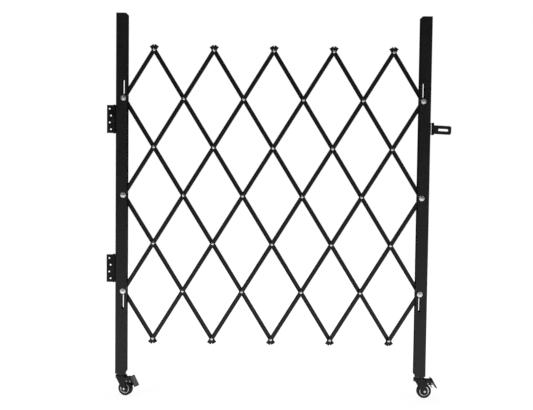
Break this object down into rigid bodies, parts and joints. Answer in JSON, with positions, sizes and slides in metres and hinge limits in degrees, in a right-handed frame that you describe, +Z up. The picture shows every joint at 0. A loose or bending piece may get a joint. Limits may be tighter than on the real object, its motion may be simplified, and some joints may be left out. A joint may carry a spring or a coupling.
{
  "type": "expandable safety barrier",
  "caption": "Folding lattice barrier between channel posts, hinged to a wall, with a slotted hasp and braked swivel casters.",
  "frame": {"origin": "on the floor line under the hinge pins, in the plane of the wall leaves' mounting faces", "axes": "+X along the open barrier from the wall towards the hasp, +Z up, -Y out of the wall leaves' mounting faces, towards the side with the rising slats"},
  "size_m": [1.1972, 0.0636, 1.337],
  "materials": {
    "powder_coat": "black satin powder coat",
    "caster_steel": "black painted pressed steel",
    "zinc": "bright zinc plate",
    "tyre": "black rubber",
    "wheel_hub": "cast, lightly polished"
  },
  "bodies": {
    "wall_leaves": {"hinge_upper_wall_leaf": "powder_coat", "hinge_lower_wall_leaf": "powder_coat", "hinge_upper_pin": "powder_coat", "hinge_lower_pin": "powder_coat"},
    "left_post": {"left_post": "powder_coat", "left_foot_plate": "powder_coat", "hinge_upper_post_leaf": "powder_coat", "hinge_lower_post_leaf": "powder_coat", "pivot_bolt_left_middle": "zinc", "pivot_nut_left_middle": "zinc", "caster_left_stem": "zinc", "caster_left_race": "zinc"},
    "slat_front_1": {"slat_front_1": "powder_coat"},
    "slat_front_2": {"slat_front_2": "powder_coat"},
    "slat_front_3": {"slat_front_3": "powder_coat", "pivot_bolt_left_bottom": "zinc", "pivot_nut_left_bottom": "zinc"},
    "slat_front_4": {"slat_front_4": "powder_coat"},
    "slat_front_5": {"slat_front_5": "powder_coat"},
    "slat_front_6": {"slat_front_6": "powder_coat", "pivot_bolt_right_top": "zinc", "pivot_nut_right_top": "zinc"},
    "slat_front_7": {"slat_front_7": "powder_coat"},
    "slat_front_8": {"slat_front_8": "powder_coat", "pivot_bolt_right_bottom": "zinc", "pivot_nut_right_bottom": "zinc"},
    "slat_back_1": {"slat_back_1": "powder_coat"},
    "slat_back_2": {"slat_back_2": "powder_coat"},
    "slat_back_3": {"slat_back_3": "powder_coat", "pivot_bolt_left_top": "zinc", "pivot_nut_left_top": "zinc"},
    "slat_back_4": {"slat_back_4": "powder_coat"},
    "slat_back_5": {"slat_back_5": "powder_coat"},
    "slat_back_6": {"slat_back_6": "powder_coat"},
    "slat_back_7": {"slat_back_7": "powder_coat"},
    "slat_back_8": {"slat_back_8": "powder_coat"},
    "right_post": {"right_post": "powder_coat", "right_foot_plate": "powder_coat", "pivot_bolt_right_middle": "zinc", "pivot_nut_right_middle": "zinc", "hasp_bracket": "powder_coat", "hasp_pin": "powder_coat", "caster_right_stem": "zinc", "caster_right_race": "zinc"},
    "hasp_arm": {"hasp_arm": "powder_coat"},
    "caster_left": {"caster_left_fork": "caster_steel", "caster_left_axle": "zinc", "caster_left_brake_pin": "zinc"},
    "wheel_left": {"caster_left_tyre": "tyre", "caster_left_hub": "wheel_hub"},
    "pedal_left": {"caster_left_pedal": "caster_steel", "caster_left_tie_rivet": "zinc"},
    "caster_right": {"caster_right_fork": "caster_steel", "caster_right_axle": "zinc", "caster_right_brake_pin": "zinc"},
    "wheel_right": {"caster_right_tyre": "tyre", "caster_right_hub": "wheel_hub"},
    "pedal_right": {"caster_right_pedal": "caster_steel", "caster_right_tie_rivet": "zinc"}
  },
  "joints": [
    {"name": "gate_swing", "type": "hinge", "parent": "wall_leaves", "child": "left_post", "pos_m": [0, 0.0048, 0.711], "axis": [0, 0, -1], "range_deg": [-90, 90]},
    {"name": "fold", "type": "hinge", "parent": "left_post", "child": "slat_front_2", "pos_m": [0.0313, 0.0228, 0.7075], "axis": [0, -1, 0], "range_deg": [0, 28.2]},
    {"name": "fold_back_2", "type": "hinge", "parent": "slat_front_2", "child": "slat_back_2", "pos_m": [0.0313, 0.0228, 0.7075], "axis": [0, -1, 0], "range_deg": [-56.4, 0]},
    {"name": "fold_back_3", "type": "hinge", "parent": "slat_front_2", "child": "slat_back_3", "pos_m": [0.13534, 0.0228, 0.87596], "axis": [0, -1, 0], "range_deg": [-56.4, 0]},
    {"name": "fold_back_4", "type": "hinge", "parent": "slat_front_2", "child": "slat_back_4", "pos_m": [0.23939, 0.0228, 1.04442], "axis": [0, -1, 0], "range_deg": [-56.4, 0]},
    {"name": "fold_back_5", "type": "hinge", "parent": "slat_front_2", "child": "slat_back_5", "pos_m": [0.34343, 0.0228, 1.21288], "axis": [0, -1, 0], "range_deg": [-56.4, 0]},
    {"name": "fold_front_1", "type": "hinge", "parent": "slat_back_3", "child": "slat_front_1", "pos_m": [0.0313, 0.0228, 1.04442], "axis": [0, -1, 0], "range_deg": [0, 56.4]},
    {"name": "fold_front_3", "type": "hinge", "parent": "slat_back_5", "child": "slat_front_3", "pos_m": [0.44747, 0.0228, 1.04442], "axis": [0, -1, 0], "range_deg": [0, 56.4]},
    {"name": "fold_front_4", "type": "hinge", "parent": "slat_back_5", "child": "slat_front_4", "pos_m": [0.55152, 0.0228, 0.87596], "axis": [0, -1, 0], "range_deg": [0, 56.4]},
    {"name": "fold_front_5", "type": "hinge", "parent": "slat_back_5", "child": "slat_front_5", "pos_m": [0.65556, 0.0228, 0.7075], "axis": [0, -1, 0], "range_deg": [0, 56.4]},
    {"name": "fold_front_6", "type": "hinge", "parent": "slat_back_5", "child": "slat_front_6", "pos_m": [0.7596, 0.0228, 0.53904], "axis": [0, -1, 0], "range_deg": [0, 56.4]},
    {"name": "fold_front_7", "type": "hinge", "parent": "slat_back_5", "child": "slat_front_7", "pos_m": [0.86365, 0.0228, 0.37058], "axis": [0, -1, 0], "range_deg": [0, 56.4]},
    {"name": "fold_front_8", "type": "hinge", "parent": "slat_back_5", "child": "slat_front_8", "pos_m": [0.96769, 0.0228, 0.20212], "axis": [0, -1, 0], "range_deg": [0, 56.4]},
    {"name": "fold_back_1", "type": "hinge", "parent": "slat_front_3", "child": "slat_back_1", "pos_m": [0.0313, 0.0228, 0.37058], "axis": [0, -1, 0], "range_deg": [-56.4, 0]},
    {"name": "fold_back_6", "type": "hinge", "parent": "slat_front_7", "child": "slat_back_6", "pos_m": [0.96769, 0.0228, 0.53904], "axis": [0, -1, 0], "range_deg": [-56.4, 0]},
    {"name": "fold_back_7", "type": "hinge", "parent": "slat_front_7", "child": "slat_back_7", "pos_m": [1.07173, 0.0228, 0.7075], "axis": [0, -1, 0], "range_deg": [-56.4, 0]},
    {"name": "fold_back_8", "type": "hinge", "parent": "slat_front_6", "child": "slat_back_8", "pos_m": [1.07173, 0.0228, 1.04442], "axis": [0, -1, 0], "range_deg": [-56.4, 0]},
    {"name": "fold_right_post", "type": "hinge", "parent": "slat_front_7", "child": "right_post", "pos_m": [1.07173, 0.0228, 0.7075], "axis": [0, -1, 0], "range_deg": [-28.2, 0]},
    {"name": "hasp_swing", "type": "hinge", "parent": "right_post", "child": "hasp_arm", "pos_m": [1.10823, 0.0228, 0.9497], "axis": [0, 0, 1], "range_deg": [-90, 90]},
    {"name": "left_swivel", "type": "hinge", "parent": "left_post", "child": "caster_left", "pos_m": [0.0251, 0.0228, 0.0724], "axis": [0, 0, 1], "continuous": true},
    {"name": "left_wheel_spin", "type": "hinge", "parent": "caster_left", "child": "wheel_left", "pos_m": [0.04154, 0.01682, 0.025], "axis": [0.342, 0.9397, 0], "continuous": true},
    {"name": "left_brake", "type": "hinge", "parent": "caster_left", "child": "pedal_left", "pos_m": [0.05141, 0.01322, 0.0537], "axis": [0.342, 0.9397, 0], "range_deg": [0, 10.5]},
    {"name": "right_swivel", "type": "hinge", "parent": "right_post", "child": "caster_right", "pos_m": [1.07793, 0.0228, 0.0724], "axis": [0, 0, 1], "continuous": true},
    {"name": "right_wheel_spin", "type": "hinge", "parent": "caster_right", "child": "wheel_right", "pos_m": [1.09534, 0.02463, 0.025], "axis": [-0.1045, 0.9945, 0], "continuous": true},
    {"name": "right_brake", "type": "hinge", "parent": "caster_right", "child": "pedal_right", "pos_m": [1.10578, 0.02573, 0.0537], "axis": [-0.1045, 0.9945, 0], "range_deg": [0, 10.5]}
  ],
  "couplings": [
    {"joint": "fold_back_2", "follows": "fold", "ratio": -2},
    {"joint": "fold_back_3", "follows": "fold", "ratio": -2},
    {"joint": "fold_back_4", "follows": "fold", "ratio": -2},
    {"joint": "fold_back_5", "follows": "fold", "ratio": -2},
    {"joint": "fold_front_1", "follows": "fold", "ratio": 2},
    {"joint": "fold_front_3", "follows": "fold", "ratio": 2},
    {"joint": "fold_front_4", "follows": "fold", "ratio": 2},
    {"joint": "fold_front_5", "follows": "fold", "ratio": 2},
    {"joint": "fold_front_6", "follows": "fold", "ratio": 2},
    {"joint": "fold_front_7", "follows": "fold", "ratio": 2},
    {"joint": "fold_front_8", "follows": "fold", "ratio": 2},
    {"joint": "fold_back_1", "follows": "fold", "ratio": -2},
    {"joint": "fold_back_6", "follows": "fold", "ratio": -2},
    {"joint": "fold_back_7", "follows": "fold", "ratio": -2},
    {"joint": "fold_back_8", "follows": "fold", "ratio": -2},
    {"joint": "fold_right_post", "follows": "fold", "ratio": -1}
  ]
}
